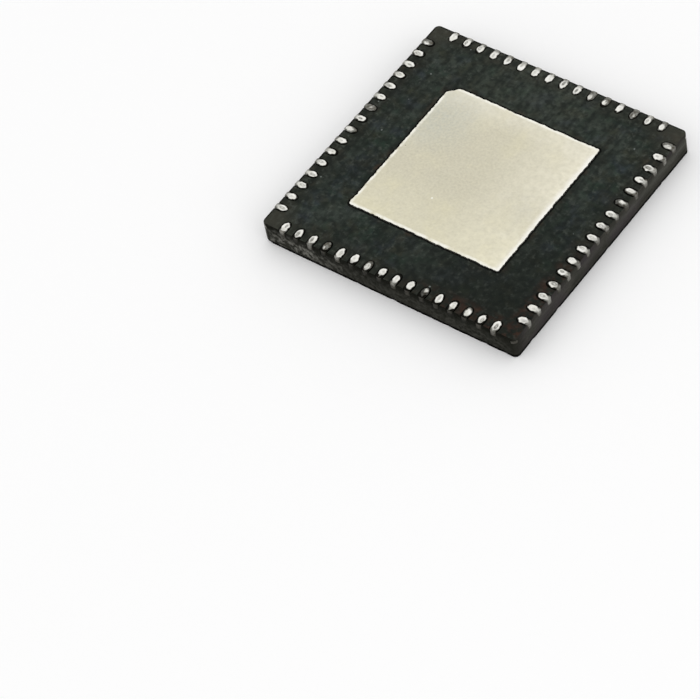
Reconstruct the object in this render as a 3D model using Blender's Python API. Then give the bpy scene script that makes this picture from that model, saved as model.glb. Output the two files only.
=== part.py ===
"""A 64-terminal QFN chip, lying on its lid with its terminals up.

Everything is in metres. +Z points out of the terminal face, and the origin is the centre of
the lid face. The -Y side is the front. Pin 1 is at the corner on -X and +Y.
"""

import math

import bmesh
import bpy
from mathutils import Matrix, Vector

MM = 0.001

# Outline of the package
BODY_SIDE = 9.00 * MM
PACKAGE_HEIGHT = 0.85 * MM
STANDOFF = 0.03 * MM
CORNER_RADIUS = 0.20 * MM
CORNER_STEPS = 3

# Pin 1 dimple in the lid
DIMPLE_DIAMETER = 0.50 * MM
DIMPLE_DEPTH = 0.06 * MM
DIMPLE_DRAFT = 0.03 * MM
DIMPLE_INSET = 1.50 * MM
DIMPLE_SIDES = 24

# Lead frame: one etched copper sheet, cut apart when the package is sawn out
LEADFRAME_THICKNESS = 0.20 * MM
HALF_ETCH_DEPTH = 0.10 * MM
TERMINAL_PITCH = 0.50 * MM
ROW_END_INSET = 0.75 * MM
TERMINAL_WIDTH = 0.25 * MM
TERMINAL_LENGTH = 0.40 * MM
TERMINAL_END_CHAMFER = 0.055 * MM
TERMINAL_END_STEPS = 4
SOLDER_OVERHANG = 0.015 * MM
CROWN_SHOULDER = 0.006 * MM
CROWN_INSET = 0.065 * MM
CROWN_STEPS = 2
PAD_SIDE = 5.30 * MM
PAD_CHAMFER = 0.30 * MM
PAD_EDGE_INSET = 0.03 * MM
PAD_EDGE_DROP = 0.012 * MM
PADDLE_RIM = 0.20 * MM
TIE_BAR_WIDTH = 0.20 * MM

# Die, its adhesive and the bond wires
ADHESIVE_SIDE = 4.50 * MM
ADHESIVE_THICKNESS = 0.03 * MM
DIE_SIDE = 4.20 * MM
DIE_THICKNESS = 0.20 * MM
BOND_PAD_INSET = 0.10 * MM
BOND_ROW_END_INSET = 0.225 * MM
WIRE_DIAMETER = 0.025 * MM
BALL_DIAMETER = 0.060 * MM
BALL_HEIGHT = 0.020 * MM
LOOP_HEIGHT = 0.15 * MM
LOOP_SEGMENTS = 3
STITCH_INSET = 0.10 * MM
WIRE_ROOT = 0.010 * MM

# Room between pieces that touch on the real chip
FIT_GAP = 0.005 * MM

# Counts and heights that follow from the sizes above
TERMINALS_PER_SIDE = 1 + math.floor((BODY_SIDE - 2 * ROW_END_INSET) / TERMINAL_PITCH + 0.001)
BOND_PAD_PITCH = (DIE_SIDE - 2 * BOND_ROW_END_INSET) / (TERMINALS_PER_SIDE - 1)
MOULDING_TOP = PACKAGE_HEIGHT - STANDOFF
FRAME_LOW = MOULDING_TOP - LEADFRAME_THICKNESS
ETCHED_TOP = MOULDING_TOP - HALF_ETCH_DEPTH
ADHESIVE_LOW = FRAME_LOW - ADHESIVE_THICKNESS
DIE_TOP = ADHESIVE_LOW - FIT_GAP
DIE_LOW = DIE_TOP - DIE_THICKNESS
LOOP_LOW = DIE_LOW - LOOP_HEIGHT


def clear_scene():
    for old in list(bpy.data.objects):
        bpy.data.objects.remove(old, do_unlink=True)


def new_collection(name):
    collection = bpy.data.collections.new(name)
    bpy.context.scene.collection.children.link(collection)
    return collection


def principled(name, colour, roughness, metallic):
    material = bpy.data.materials.new(name)
    material.use_nodes = True
    shader = material.node_tree.nodes["Principled BSDF"]
    shader.inputs["Base Color"].default_value = (*colour, 1.0)
    shader.inputs["Roughness"].default_value = roughness
    shader.inputs["Metallic"].default_value = metallic
    return material


def add_piece(name, mesh, collection, materials):
    piece = bpy.data.objects.new(name, mesh)
    collection.objects.link(piece)
    for material in materials:
        mesh.materials.append(material)
    return piece


def add_cutter(name, mesh, collection, materials=()):
    cutter = add_piece(name, mesh, collection, materials)
    cutter.hide_render = True
    cutter.display_type = "WIRE"
    return cutter


def add_boolean(piece, other, operation):
    modifier = piece.modifiers.new(f"{operation.lower()}_{other.name}", "BOOLEAN")
    modifier.operation = operation
    modifier.solver = "EXACT"
    modifier.object = other


def shade(mesh, sharp_angle=35):
    """Smooth over the round faces, sharp at the corners."""
    mesh.shade_smooth()
    mesh.set_sharp_from_angle(angle=math.radians(sharp_angle))


def apply_booleans(piece):
    """Turns the piece's Boolean modifiers into its own mesh and shades it."""
    graph = bpy.context.evaluated_depsgraph_get()
    mesh = bpy.data.meshes.new_from_object(piece.evaluated_get(graph))
    mesh.name = piece.name
    piece.modifiers.clear()
    piece.data = mesh
    shade(mesh)


def mesh_of_curve(curve, weld=1e-7):
    """The curve's evaluated mesh with its caps welded on."""
    holder = bpy.data.objects.new(curve.name, curve)
    bpy.context.scene.collection.objects.link(holder)
    graph = bpy.context.evaluated_depsgraph_get()
    mesh = bpy.data.meshes.new_from_object(holder.evaluated_get(graph))
    shape = bmesh.new()
    shape.from_mesh(mesh)
    bmesh.ops.remove_doubles(shape, verts=shape.verts, dist=weld)
    shape.to_mesh(mesh)
    shape.free()
    bpy.data.objects.remove(holder, do_unlink=True)
    return mesh


def plate(name, outline, low, high):
    """A flat sheet with this outline, from one height to the other."""
    curve = bpy.data.curves.new(name, "CURVE")
    curve.dimensions = "2D"
    curve.fill_mode = "BOTH"
    curve.extrude = (high - low) / 2
    spline = curve.splines.new("POLY")
    spline.points.add(len(outline) - 1)
    for point, (x, y) in zip(spline.points, outline):
        point.co = (x, y, 0.0, 1.0)
    spline.use_cyclic_u = True
    mesh = mesh_of_curve(curve)
    mesh.transform(Matrix.Translation((0.0, 0.0, (low + high) / 2)))
    return mesh


def crown(mesh, inset, rise, steps):
    """Raises the top of a plate in steps that round its edge over."""
    shape = bmesh.new()
    shape.from_mesh(mesh)
    shape.normal_update()
    top = [face for face in shape.faces if face.normal.z > 0.9]
    reached_inset = 0.0
    reached_rise = 0.0
    for step in range(1, steps + 1):
        angle = math.pi / 2 * step / steps
        next_inset = inset * (1.0 - math.cos(angle))
        next_rise = rise * math.sin(angle)
        bmesh.ops.inset_region(
            shape,
            faces=top,
            use_boundary=True,
            use_even_offset=True,
            thickness=next_inset - reached_inset,
            depth=next_rise - reached_rise,
        )
        reached_inset = next_inset
        reached_rise = next_rise
    shape.to_mesh(mesh)
    shape.free()


def arc(centre, radius, start, sweep, steps):
    """Points along an arc, angles in degrees."""
    points = []
    for step in range(steps + 1):
        angle = math.radians(start + sweep * step / steps)
        points.append((centre[0] + radius * math.cos(angle), centre[1] + radius * math.sin(angle)))
    return points


def square(side):
    half = side / 2
    return [(half, -half), (half, half), (-half, half), (-half, -half)]


def body_outline():
    """The square body with its rounded corners."""
    reach = BODY_SIDE / 2 - CORNER_RADIUS
    outline = []
    for quarter in range(4):
        start = 90 * quarter
        middle = math.radians(start + 45)
        centre = (math.copysign(reach, math.cos(middle)), math.copysign(reach, math.sin(middle)))
        outline += arc(centre, CORNER_RADIUS, start, 90, CORNER_STEPS)
    return outline


def pad_outline(grow=0.0):
    """The exposed pad, with the chamfer that marks pin 1."""
    half = PAD_SIDE / 2 + grow
    cut = PAD_CHAMFER + grow * (2 - math.sqrt(2))
    return [(half, -half), (half, half), (cut - half, half), (-half, half - cut), (-half, -half)]


def etched_outline(grow=0.0):
    """The paddle's half-etched rim and the four tie bars that reach past the body's corners."""
    half = PAD_SIDE / 2 + PADDLE_RIM + grow
    bar = TIE_BAR_WIDTH / 2 + grow
    reach = BODY_SIDE
    outline = []
    for quarter in range(4):
        turn = Matrix.Rotation(math.radians(90 * quarter), 2)
        along = Vector((1.0, 1.0)).normalized()
        across = Vector((-1.0, 1.0)).normalized()
        foot = bar * math.sqrt(2)
        corner = [
            Vector((half, half - foot)),
            along * reach - across * bar,
            along * reach + across * bar,
            Vector((half - foot, half)),
        ]
        outline += [tuple(turn @ point) for point in corner]
    return outline


def terminal_outline():
    """One terminal of the front side, centred on x = 0: round at its inner end."""
    half = TERMINAL_WIDTH / 2
    inner = TERMINAL_LENGTH - BODY_SIDE / 2
    outer = -BODY_SIDE / 2 - SOLDER_OVERHANG
    cut = TERMINAL_END_CHAMFER
    outline = arc((0.0, inner - half), half, 0, 180, TERMINAL_END_STEPS)
    outline += [(-half, outer + cut), (cut - half, outer), (half - cut, outer), (half, outer + cut)]
    return outline


def pin_offsets(pitch):
    """The places of one side's pins along that side."""
    middle = (TERMINALS_PER_SIDE - 1) / 2
    return [(index - middle) * pitch for index in range(TERMINALS_PER_SIDE)]


def joined(name, meshes_and_places):
    """One mesh that holds a copy of each mesh at its place."""
    shape = bmesh.new()
    for mesh, place in meshes_and_places:
        copy = mesh.copy()
        copy.transform(place)
        shape.from_mesh(copy)
        bpy.data.meshes.remove(copy)
    mesh = bpy.data.meshes.new(name)
    shape.to_mesh(mesh)
    shape.free()
    return mesh


def quarter_turn(side):
    return Matrix.Rotation(math.radians(90 * side), 4, "Z")


def terminals_mesh():
    """All terminals: full-thickness leads whose soldered faces stand proud and are crowned."""
    lead = plate("lead", terminal_outline(), FRAME_LOW, MOULDING_TOP + CROWN_SHOULDER)
    crown(lead, CROWN_INSET, STANDOFF - CROWN_SHOULDER, CROWN_STEPS)
    places = []
    for side in range(4):
        for offset in pin_offsets(TERMINAL_PITCH):
            places.append((lead, quarter_turn(side) @ Matrix.Translation((offset, 0.0, 0.0))))
    mesh = joined("terminals", places)
    for face in mesh.polygons:
        face.material_index = 1
    return mesh


def wire_path(offset_on_die, offset_on_lead):
    """A front-side bond wire: up through its ball, over the loop and down to its lead."""
    start = Vector((offset_on_die, BOND_PAD_INSET - DIE_SIDE / 2, DIE_LOW))
    end_y = TERMINAL_LENGTH - STITCH_INSET - BODY_SIDE / 2
    end_z = FRAME_LOW - FIT_GAP - WIRE_DIAMETER / 2
    run = Vector((offset_on_lead, end_y, DIE_LOW)) - start
    path = [start + Vector((0.0, 0.0, WIRE_ROOT)), start - Vector((0.0, 0.0, BALL_HEIGHT))]
    for step in range(LOOP_SEGMENTS + 1):
        share = step / LOOP_SEGMENTS
        sink = math.cos(math.pi / 2 * share)
        knee = BALL_DIAMETER / run.length
        point = start + run * (knee + (1.0 - knee) * share)
        point.z = end_z + (LOOP_LOW - end_z) * sink
        path.append(point)
    return path


def wire_mesh(name, path, grow=0.0):
    """A square-sectioned wire along a path, thicker at its ball."""
    radius = WIRE_DIAMETER / 2 + grow
    curve = bpy.data.curves.new(name, "CURVE")
    curve.dimensions = "3D"
    curve.bevel_depth = radius
    curve.bevel_resolution = 0
    curve.use_fill_caps = True
    spline = curve.splines.new("POLY")
    spline.points.add(len(path) - 1)
    for index, (point, place) in enumerate(zip(spline.points, path)):
        point.co = (*place, 1.0)
        if index == 0:
            point.radius = (BALL_DIAMETER / 2 + grow) / radius
    return mesh_of_curve(curve)


def wires_mesh(grow=0.0):
    """The bond wires of all four sides."""
    offsets = zip(pin_offsets(BOND_PAD_PITCH), pin_offsets(TERMINAL_PITCH))
    wires = [wire_mesh("wire", wire_path(*pair), grow) for pair in offsets]
    places = [(wire, quarter_turn(side)) for side in range(4) for wire in wires]
    mesh = joined("wires", places)
    for face in mesh.polygons:
        face.material_index = 1
    return mesh


def dimple_mesh():
    """The tapered plug that the mould leaves the pin 1 dimple with."""
    shape = bmesh.new()
    bmesh.ops.create_cone(
        shape,
        cap_ends=True,
        segments=DIMPLE_SIDES,
        radius1=DIMPLE_DIAMETER / 2 + DIMPLE_DRAFT,
        radius2=DIMPLE_DIAMETER / 2 - DIMPLE_DRAFT,
        depth=2 * DIMPLE_DEPTH,
    )
    place = BODY_SIDE / 2 - DIMPLE_INSET
    bmesh.ops.translate(shape, verts=shape.verts, vec=(-place, place, 0.0))
    mesh = bpy.data.meshes.new("dimple")
    shape.to_mesh(mesh)
    shape.free()
    return mesh


def build_paddle(parts, cutters, tin):
    """The die paddle: exposed pad, half-etched rim and tie bars, sawn off flush at the corners."""
    sheet = plate("die_paddle", etched_outline(), FRAME_LOW, ETCHED_TOP)
    paddle = add_piece("die_paddle", sheet, parts, [tin])
    pad = plate("pad", pad_outline(), (FRAME_LOW + ETCHED_TOP) / 2, PACKAGE_HEIGHT - PAD_EDGE_DROP)
    crown(pad, PAD_EDGE_INSET, PAD_EDGE_DROP, 1)
    add_boolean(paddle, add_cutter("pad_form", pad, cutters), "UNION")
    sawn = plate("sawn_outline", body_outline(), 0.0, PACKAGE_HEIGHT + STANDOFF)
    add_boolean(paddle, add_cutter("sawn_form", sawn, cutters), "INTERSECT")
    apply_booleans(paddle)


def build_adhesive(parts, silver):
    """The film of die attach adhesive under the die."""
    film = plate("die_attach", square(ADHESIVE_SIDE), ADHESIVE_LOW, FRAME_LOW - FIT_GAP)
    shade(film)
    add_piece("die_attach", film, parts, [silver])


def build_die(parts, cutters, silicon, copper):
    """The die, with the bond wires welded to its pads."""
    block = plate("die", square(DIE_SIDE), DIE_LOW, DIE_TOP)
    die = add_piece("die_with_bond_wires", block, parts, [silicon, copper])
    wires = add_cutter("wire_form", wires_mesh(), cutters, [silicon, copper])
    add_boolean(die, wires, "UNION")
    apply_booleans(die)


def build_body(parts, cutters, epoxy, tin):
    """The moulding, with its terminals and the room that it leaves for what it encloses."""
    block = plate("body", body_outline(), 0.0, MOULDING_TOP)
    body = add_piece("body_with_terminals", block, parts, [epoxy, tin])
    terminals = add_cutter("terminal_form", terminals_mesh(), cutters, [epoxy, tin])
    add_boolean(body, terminals, "UNION")
    side_gap = 2 * FIT_GAP
    sheet = plate("sheet_room", etched_outline(FIT_GAP), FRAME_LOW - FIT_GAP, ETCHED_TOP + FIT_GAP)
    pad = plate("pad_room", pad_outline(FIT_GAP), FRAME_LOW, PACKAGE_HEIGHT + STANDOFF)
    film = plate("film_room", square(ADHESIVE_SIDE + side_gap), ADHESIVE_LOW - FIT_GAP, FRAME_LOW)
    die = plate("die_room", square(DIE_SIDE + side_gap), DIE_LOW - FIT_GAP, ADHESIVE_LOW)
    wires = wires_mesh(FIT_GAP * math.sqrt(2))
    rooms = {
        "sheet_room": sheet,
        "pad_room": pad,
        "film_room": film,
        "die_room": die,
        "wire_room": wires,
        "dimple_form": dimple_mesh(),
    }
    for name, mesh in rooms.items():
        add_boolean(body, add_cutter(name, mesh, cutters, [epoxy]), "DIFFERENCE")
    apply_booleans(body)


def build_chip():
    clear_scene()
    parts = new_collection("qfn_chip")
    cutters = new_collection("cutters")
    epoxy = principled("moulding_epoxy", (0.020, 0.023, 0.021), 0.75, 0.0)
    tin = principled("tin_plate", (0.70, 0.68, 0.62), 0.32, 1.0)
    silver = principled("silver_epoxy", (0.45, 0.45, 0.44), 0.60, 0.4)
    silicon = principled("silicon", (0.10, 0.11, 0.14), 0.20, 0.6)
    copper = principled("copper_wire", (0.80, 0.45, 0.28), 0.30, 1.0)
    build_paddle(parts, cutters, tin)
    build_adhesive(parts, silver)
    build_die(parts, cutters, silicon, copper)
    build_body(parts, cutters, epoxy, tin)


build_chip()
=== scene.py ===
"""The looks of a 64-terminal QFN chip that lies on its lid with its terminals up."""

import math
import random

import bmesh
import bpy
from mathutils import Matrix, Vector, noise


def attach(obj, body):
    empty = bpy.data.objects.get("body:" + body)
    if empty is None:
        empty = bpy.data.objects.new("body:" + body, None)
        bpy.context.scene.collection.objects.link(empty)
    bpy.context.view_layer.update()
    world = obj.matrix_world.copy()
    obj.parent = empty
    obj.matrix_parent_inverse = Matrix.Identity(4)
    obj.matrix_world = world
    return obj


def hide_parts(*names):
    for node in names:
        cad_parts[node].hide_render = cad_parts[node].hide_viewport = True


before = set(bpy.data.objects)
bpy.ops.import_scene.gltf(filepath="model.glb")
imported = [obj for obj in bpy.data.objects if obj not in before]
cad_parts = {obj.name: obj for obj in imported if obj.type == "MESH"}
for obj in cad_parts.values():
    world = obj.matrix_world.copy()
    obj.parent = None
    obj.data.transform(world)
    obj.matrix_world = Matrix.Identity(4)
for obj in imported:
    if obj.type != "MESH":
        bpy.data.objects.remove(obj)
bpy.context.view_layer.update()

# Camera. It looks down on the chip over its front right corner, a little rolled, through a long
# lens. Its place was worked out from the four rows of terminals in the photograph.
MM = 0.001
CAMERA_AZIMUTH = math.radians(45.617)
CAMERA_ELEVATION = math.radians(50.399)
CAMERA_ROLL = math.radians(-12.434)
CAMERA_DISTANCE = 109.402 * MM
CAMERA_LEFT = 3.629 * MM
CAMERA_DOWN = 5.051 * MM
CAMERA_TARGET = Vector((0.0, 0.0, 0.84 * MM))
LENS = 192.74

level = math.cos(CAMERA_ELEVATION)
back = Vector(
    (
        math.sin(CAMERA_AZIMUTH) * level,
        -math.cos(CAMERA_AZIMUTH) * level,
        math.sin(CAMERA_ELEVATION),
    )
)
right = Vector((math.cos(CAMERA_AZIMUTH), math.sin(CAMERA_AZIMUTH), 0.0))
right.rotate(Matrix.Rotation(CAMERA_ROLL, 3, back))
up = back.cross(right)
camera = bpy.data.objects.new("camera", bpy.data.cameras.new("camera"))
camera.data.lens = LENS
camera.data.clip_start = 1 * MM
camera.data.clip_end = 10.0
facing = Matrix((right, up, back)).transposed().to_4x4()
camera_place = CAMERA_TARGET + back * CAMERA_DISTANCE - right * CAMERA_LEFT - up * CAMERA_DOWN
camera.matrix_world = Matrix.Translation(camera_place) @ facing
bpy.context.scene.collection.objects.link(camera)
bpy.context.scene.camera = camera

# Terminals. Sixty-four copper leads, sixteen a side, cut through when the package was sawn out.
# Their faces were dipped in solder, which stands proud as a small dome. The cut ends are dull
# metal, in part smeared over with epoxy by the saw.
BODY_SIDE = 9.00 * MM
MOULDING_TOP = 0.82 * MM
LEAD_LOW = 0.62 * MM
TERMINALS_A_SIDE = 16
TERMINAL_PITCH = 0.50 * MM
LEAD_HALF_WIDTH = 0.125 * MM
LEAD_INNER_END = 0.40 * MM
LEAD_OUTER_END = 0.015 * MM
LEAD_INNER_POWER = 2.2
LEAD_OUTER_POWER = 4.0
CUT_END_DEPTH = 0.3 * LEAD_OUTER_END
SOLDER_SHOULDER = 0.004 * MM
SOLDER_RISE = 0.022 * MM
SOLDER_HALF_WIDTH = 0.120 * MM
SOLDER_HALF_LENGTH = 0.185 * MM
SOLDER_MIDDLE = 0.205 * MM
SOLDER_SHIFT = 0.014 * MM
SOLDER_POWER = 2.6
DOME_FLATNESS = 2.4
DOME_FULLNESS = 0.60
DOME_TALLEST = 1.08
PIT_DROP = 0.16
SOLDER_SIZE = {"front": 1.0, "right": 1.0, "back": 0.90, "left": 0.94}
# How much further out the domes' dull foot, which is partly painted shade, begins on each side.
SOLDER_LIGHTER_FOOT = {"front": 0.0, "right": 0.0, "back": 0.09, "left": 0.04}
SOLDER_RINGS = (1.0, 0.97, 0.93, 0.88, 0.82, 0.75, 0.67, 0.58, 0.49, 0.40, 0.31, 0.22, 0.13)
RING_POINTS = 36
FIT = 0.004 * MM
SIDES = ("front", "right", "back", "left")
# Terminals with worn solder, which is clean only in one spot: how far across and along the dome
# the spot's middle lies, how far the spot reaches, and how dull the solder is round it.
WORN = {
    ("front", 3): (-0.3, -0.5, -0.15, 1.05),
    ("front", 6): (0.0, -0.30, 0.42, 1.40),
    ("front", 10): (0.15, 0.30, 0.22, 1.55),
    ("front", 13): (0.3, -0.30, 0.60, 1.10),
    ("right", 10): (0.35, -0.35, 0.36, 1.45),
    ("right", 11): (0.30, 0.10, 0.50, 1.20),
    ("right", 15): (-0.40, -0.10, 0.25, 1.10),
    ("back", 0): (0.10, 0.20, 0.55, 1.05),
    ("back", 2): (-0.30, 0.20, -0.05, 1.05),
    ("back", 4): (0.20, 0.30, 0.40, 1.05),
    ("back", 5): (0.20, 0.30, 0.35, 1.05),
    ("left", 0): (0.45, -0.30, 0.30, 1.05),
    ("left", 6): (0.0, 0.10, -0.10, 1.05),
    ("left", 8): (0.0, -0.30, 0.40, 1.05),
}
# Terminals whose cut ends are smeared over so far that little metal shows.
SMEARED_ENDS = {"front": (1, 3, 5, 6, 7, 9, 10, 11, 12, 13, 14)}
SMEAR_ON_END = 1.0
SMEAR_ON_DOME = 1.3
FLUX = 1.9
chance = random.Random(64)


def quarter_turn(side):
    """Carries what stands at the front to another side."""
    return Matrix.Rotation(math.radians(90 * side), 4, "Z")


def offsets(pitch):
    """The places of one side's terminals, or of their bond pads, along that side."""
    return [(index - (TERMINALS_A_SIDE - 1) / 2) * pitch for index in range(TERMINALS_A_SIDE)]


def oval(half_width, half_length, powers, height, scale=1.0, wobble=None):
    """A ring with more or less square ends, by its powers at the inner and the outer end."""
    ring = []
    for step in range(RING_POINTS):
        angle = 2 * math.pi * step / RING_POINTS
        across, along = math.cos(angle), math.sin(angle)
        power = powers[0] if along >= 0 else powers[1]
        stretched = abs(across / half_width) ** power + abs(along / half_length) ** power
        radius = stretched ** (-1 / power)
        if wobble:
            radius *= wobble(angle)
        ring.append(Vector((across * radius * scale, along * radius * scale, height)))
    return ring


def loft(name, rings):
    """A closed mesh through rings of equally many points, filled at both ends."""
    shape = bmesh.new()
    loops = [[shape.verts.new(point) for point in ring] for ring in rings]
    for low, high in zip(loops, loops[1:]):
        for index in range(len(low)):
            after = (index + 1) % len(low)
            shape.faces.new((low[index], low[after], high[after], high[index]))
    shape.faces.new(tuple(reversed(loops[0])))
    shape.faces.new(loops[-1])
    mesh = bpy.data.meshes.new(name)
    shape.to_mesh(mesh)
    shape.free()
    return mesh


def shade(mesh, sharp_angle=40):
    """Smooth over round forms, with sharp corners kept."""
    mesh.shade_smooth()
    mesh.set_sharp_from_angle(angle=math.radians(sharp_angle))


def show(name, mesh, materials):
    """Puts a mesh into the scene as a piece that rides on the chip."""
    piece = bpy.data.objects.new(name, mesh)
    bpy.context.scene.collection.objects.link(piece)
    for material in materials:
        mesh.materials.append(material)
    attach(piece, "root")
    return piece


def add(tree, kind, settings=None, sockets=None):
    """A shader node with these settings, its sockets given values or linked."""
    node = tree.nodes.new(kind)
    for key, value in (settings or {}).items():
        setattr(node, key, value)
    for key, value in (sockets or {}).items():
        if isinstance(value, bpy.types.NodeSocket):
            tree.links.new(value, node.inputs[key])
        else:
            node.inputs[key].default_value = value
    return node


def new_group(name, inputs):
    """A shader group with these inputs, still empty, that puts out a mask."""
    group = bpy.data.node_groups.new(name, "ShaderNodeTree")
    for label, value in inputs.items():
        kind = "NodeSocketVector" if isinstance(value, tuple) else "NodeSocketFloat"
        socket = group.interface.new_socket(label, in_out="INPUT", socket_type=kind)
        socket.default_value = value
    group.interface.new_socket("Mask", in_out="OUTPUT", socket_type="NodeSocketFloat")
    entry = group.nodes.new("NodeGroupInput")
    leave = group.nodes.new("NodeGroupOutput")
    return group, entry.outputs, leave.inputs["Mask"]


def patches_group():
    """Soft patches: a mask from noise, with its scale in patches a millimetre."""
    inputs = {
        "Scale": 1.0,
        "Detail": 3.0,
        "Low": 0.4,
        "High": 0.6,
        "Stretch": (1.0, 1.0, 1.0),
        "Shift": (0.0, 0.0, 0.0),
    }
    group, given, made = new_group("patches", inputs)
    where = add(group, "ShaderNodeTexCoord").outputs["Object"]
    in_mm = add(group, "ShaderNodeVectorMath", {"operation": "SCALE"}, {0: where, "Scale": 1 / MM})
    sockets = {0: in_mm.outputs[0], 1: given["Stretch"], 2: given["Shift"]}
    pulled = add(group, "ShaderNodeVectorMath", {"operation": "MULTIPLY_ADD"}, sockets)
    sockets = {"Vector": pulled.outputs[0], "Scale": given["Scale"], "Detail": given["Detail"]}
    cloud = add(group, "ShaderNodeTexNoise", {}, sockets)
    sockets = {"Value": cloud.outputs[0], "From Min": given["Low"], "From Max": given["High"]}
    mask = add(group, "ShaderNodeMapRange", {}, sockets)
    group.links.new(mask.outputs[0], made)
    return group


patches = patches_group()


def patch(tree, scale, low=0.4, high=0.6, detail=3.0, stretch=(1, 1, 1), shift=(0, 0, 0)):
    """One layer of soft patches in a material."""
    sockets = {
        "Scale": scale,
        "Detail": detail,
        "Low": low,
        "High": high,
        "Stretch": stretch,
        "Shift": shift,
    }
    return add(tree, "ShaderNodeGroup", {"node_tree": patches}, sockets).outputs["Mask"]


def mixed(tree, mask, first, second):
    """The first colour where the mask is 0 and the second where it is 1."""
    settings = {"data_type": "RGBA", "clamp_factor": True}
    return add(tree, "ShaderNodeMix", settings, {0: mask, 6: first, 7: second}).outputs[2]


def between(tree, mask, low, high):
    """A value that follows the mask from low to high."""
    sockets = {"Value": mask, "To Min": low, "To Max": high}
    return add(tree, "ShaderNodeMapRange", {}, sockets).outputs[0]


def sums(tree, operation, first, second):
    """One step of arithmetic."""
    return add(tree, "ShaderNodeMath", {"operation": operation}, {0: first, 1: second}).outputs[0]


def both(tree, first, second):
    """A mask that is 1 only where two others are."""
    return sums(tree, "MULTIPLY", first, second)


def wash(tree, colour, mask, strength, tint):
    """A colour with a wash of another laid over it, at this strength where the mask is 1."""
    return mixed(tree, sums(tree, "MULTIPLY", mask, strength), colour, tint)


def relief(tree, height, depth, under=None):
    """A bump of this depth in metres, laid over another one if it is given."""
    sockets = {"Height": height, "Distance": depth, "Strength": 1.0}
    if under:
        sockets["Normal"] = under
    return add(tree, "ShaderNodeBump", {}, sockets).outputs["Normal"]


def paint(red, green, blue):
    """A colour given as a paint chip's 0 to 255 numbers, as the shader wants it."""
    linear = []
    for value in (red, green, blue):
        share = value / 255
        linear.append(share / 12.92 if share <= 0.04045 else ((share + 0.055) / 1.055) ** 2.4)
    return (*linear, 1.0)


def new_material(name, metallic=0.0, specular=0.5):
    """A material and its shader, with the values that are the same all over it."""
    material = bpy.data.materials.new(name)
    material.use_nodes = True
    tree = material.node_tree
    shader = tree.nodes["Principled BSDF"]
    shader.inputs["Metallic"].default_value = metallic
    shader.inputs["Specular IOR Level"].default_value = specular
    return material, tree, shader


def finish_shader(tree, shader, colour, roughness, normal):
    """Gives a shader the three things that change over its surface."""
    tree.links.new(colour, shader.inputs["Base Color"])
    tree.links.new(roughness, shader.inputs["Roughness"])
    tree.links.new(normal, shader.inputs["Normal"])


def tarnish_of(tree, ragged):
    """How dull each point is, as its mesh says, with a ragged border."""
    kept = add(tree, "ShaderNodeAttribute", {"attribute_name": "tarnish"}).outputs["Fac"]
    cloud = between(tree, patch(tree, 15.0, 0.25, 0.75), -ragged, ragged)
    return sums(tree, "ADD", kept, cloud)


def ramp(tree, value, low, high):
    """0 where the value is at or below low and 1 at or above high."""
    sockets = {"Value": value, "From Min": low, "From Max": high}
    return add(tree, "ShaderNodeMapRange", {}, sockets).outputs[0]


def solder_finish():
    """Solder: white metal, dull grey where its tarnish nears 1, with black flux residue at 2; part
    of that dullness is painted shade.
    """
    material, tree, shader = new_material("solder", metallic=1.0)
    tarnish = tarnish_of(tree, 0.18)
    clouds = patch(tree, 7.0, 0.35, 0.65)
    clean = mixed(tree, clouds, paint(252, 251, 246), paint(238, 237, 228))
    stains = patch(tree, 11.0, 0.45, 0.62, shift=(7.3, 1.1, 4.0))
    dull = mixed(tree, stains, paint(136, 136, 130), paint(92, 88, 78))
    colour = mixed(tree, tarnish, clean, dull)
    colour = mixed(tree, ramp(tree, tarnish, 1.1, 1.8), colour, paint(22, 21, 17))
    roughness = between(tree, tarnish, 0.27, 0.55)
    ripples = relief(tree, patch(tree, 14.0, 0.2, 0.8, 2.0), 0.003 * MM)
    finish_shader(tree, shader, colour, roughness, ripples)
    return material


def cut_finish():
    """The sawn end of a lead or tie bar: dull grey metal, in part smeared over with epoxy."""
    material, tree, shader = new_material("cut_metal", specular=0.05)
    tarnish = tarnish_of(tree, 0.30)
    smear = patch(tree, 9.0, 0.3, 0.7, stretch=(1.0, 1.0, 3.0))
    metal = mixed(tree, smear, paint(172, 171, 165), paint(128, 126, 120))
    colour = mixed(tree, ramp(tree, tarnish, 0.7, 1.7), metal, paint(66, 64, 58))
    colour = mixed(tree, ramp(tree, tarnish, 1.9, 3.0), colour, paint(28, 28, 23))
    bare = between(tree, ramp(tree, tarnish, 0.7, 2.0), 0.7, 0.0)
    tree.links.new(bare, shader.inputs["Metallic"])
    roughness = between(tree, smear, 0.42, 0.62)
    finish_shader(tree, shader, colour, roughness, relief(tree, smear, 0.004 * MM))
    return material


solder = solder_finish()
cut_metal = cut_finish()


def lead_outline(grow, height):
    """The lead's outline: its inner end is round and its outer end squarish."""
    middle = (LEAD_INNER_END - LEAD_OUTER_END) / 2
    reach = (LEAD_INNER_END + LEAD_OUTER_END) / 2 + grow
    ring = oval(LEAD_HALF_WIDTH + grow, reach, (LEAD_INNER_POWER, LEAD_OUTER_POWER), height)
    return [point + Vector((0.0, middle, 0.0)) for point in ring]


def eased(value, low, high):
    """0 below low, 1 above high, and a soft rise between."""
    share = min(max((value - low) / (high - low), 0.0), 1.0)
    return share * share * (3 - 2 * share)


def keep_tarnish(mesh, tarnish):
    """Writes how dull each point of a mesh is, for its materials to read."""
    layer = mesh.attributes.new("tarnish", "FLOAT", "POINT")
    layer.data.foreach_set("value", [tarnish(vertex.co) for vertex in mesh.vertices])


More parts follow.
